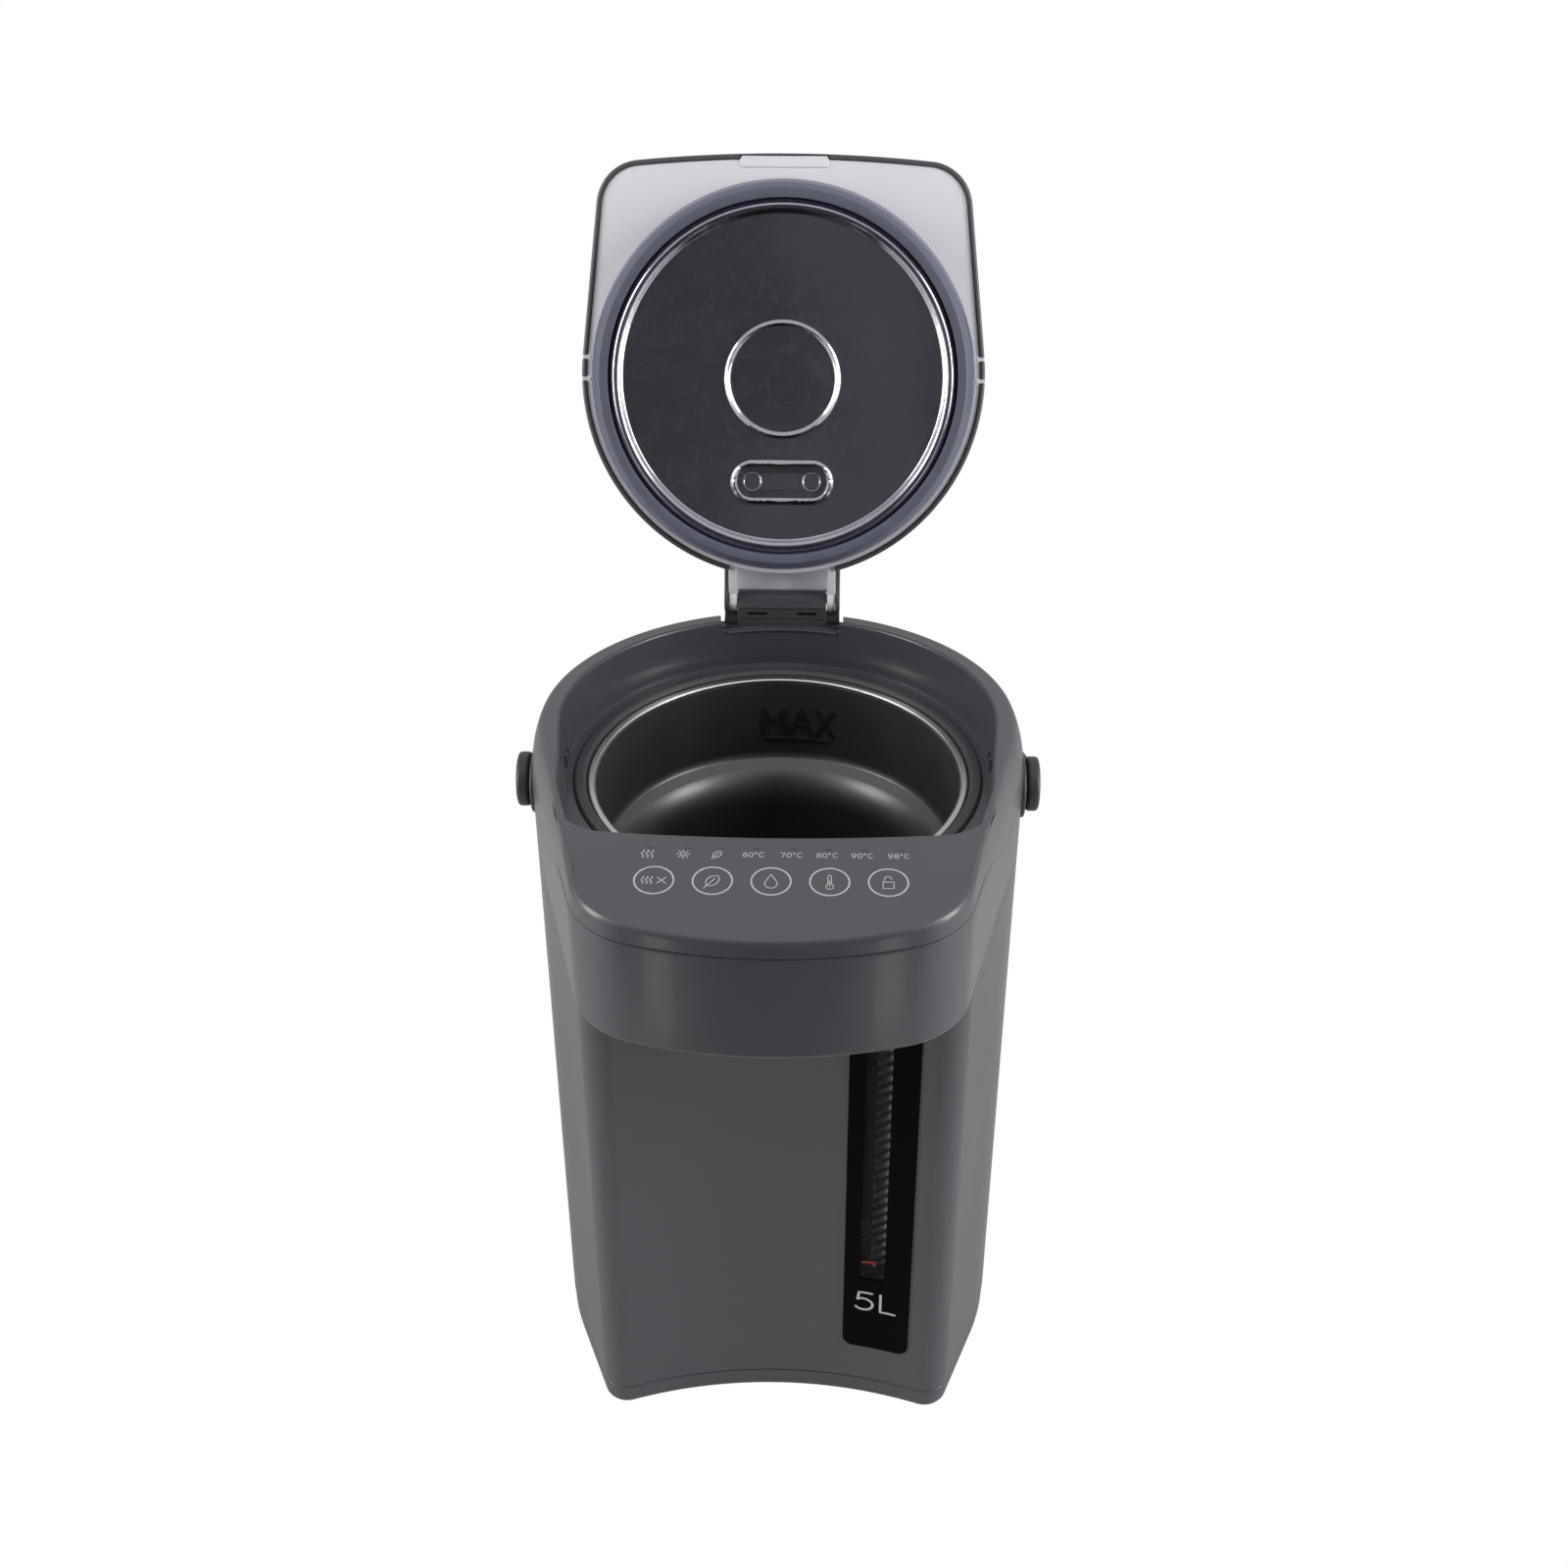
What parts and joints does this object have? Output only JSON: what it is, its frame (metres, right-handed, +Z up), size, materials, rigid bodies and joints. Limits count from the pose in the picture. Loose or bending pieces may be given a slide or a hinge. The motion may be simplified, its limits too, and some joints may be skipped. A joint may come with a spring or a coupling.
{
  "type": "electric thermo pot",
  "caption": "Upright electric hot water dispenser with an opened hinged lid, stepped inner pot, overhanging spout head with touch panel, water gauge, hollow front and swinging bail handle.",
  "frame": {"origin": "table point under the middle of the outer box, at the bottom of the feet, with the lid open and the bail folded back", "axes": "+Z up, -Y towards the front (spout and control panel), +X towards the right in the picture (the side of the water gauge)"},
  "size_m": [0.2364, 0.346, 0.5587],
  "materials": {
    "shell_grey": "fine matt grain",
    "dark_plastic": "fine matt grain",
    "foot_rubber": "matt",
    "steel": "plain drawn",
    "lid_steel": "bright, pressed",
    "silicone": "satin",
    "gauge_glass": "clear",
    "gauge_black": "high gloss",
    "light_plastic": "satin",
    "ring_plastic": "satin",
    "coating": "dark non-stick coating",
    "glass_wool": "felted",
    "heater_alloy": "cast",
    "mica_band": "plain",
    "ceramic_white": "glazed",
    "board_green": "solder mask"
  },
  "bodies": {
    "root": {"outer_shell": "shell_grey", "base_tray": "shell_grey", "rubber_feet": "foot_rubber", "base_screws": "steel", "top_cap": "shell_grey", "spout_cover": "shell_grey", "spout_nozzle": "dark_plastic", "outlet_hose": "silicone", "level_tube": "gauge_glass", "riser_hose": "silicone", "gauge_panel": "gauge_black", "gauge_lens": "gauge_glass", "gauge_stripes": "light_plastic", "seat_ring": "ring_plastic", "inner_pot": "coating", "pot_outlet": "steel", "insulation": "glass_wool", "heater_plate": "heater_alloy", "heater_band": "mica_band", "thermostats": "steel", "thermal_fuse": "ceramic_white", "pot_brackets": "steel", "bracket_screws": "steel", "pump_volute": "dark_plastic", "pump_motor": "steel", "suction_hose": "silicone", "power_board": "board_green", "board_parts": "dark_plastic", "control_board": "board_green", "touch_springs": "steel", "indicator_leds": "light_plastic", "board_screws": "steel", "ribbon_cable": "silicone", "power_inlet": "dark_plastic", "inlet_pins": "steel", "hinge_block": "dark_plastic", "hinge_screws": "steel", "hinge_pin": "steel", "pivot_plates": "dark_plastic", "pivot_pins": "steel"},
    "lid": {"lid_shell": "shell_grey", "lid_panel": "light_plastic", "lid_ring": "ring_plastic", "lid_gasket": "foot_rubber", "lid_plate": "lid_steel", "steam_studs": "steel", "steam_duct": "dark_plastic", "lid_insulation": "glass_wool", "lid_screws": "steel"},
    "bail": {"bail": "dark_plastic", "bail_grip": "dark_plastic"},
    "rotor": {"pump_shaft": "steel", "impeller": "light_plastic", "rotor_magnet": "dark_plastic"}
  },
  "joints": [
    {"name": "lid_hinge", "type": "hinge", "parent": "root", "child": "lid", "pos_m": [0, 0.09604, 0.36], "axis": [1, 0, 0], "range_deg": [0, 109.5]},
    {"name": "bail_swing", "type": "hinge", "parent": "root", "child": "bail", "pos_m": [0, -0.00596, 0.321], "axis": [1, 0, 0], "range_deg": [0, 45]},
    {"name": "pump_spin", "type": "hinge", "parent": "root", "child": "rotor", "pos_m": [0.036, -0.04996, 0.0145], "axis": [0, 0, 1], "continuous": true}
  ]
}
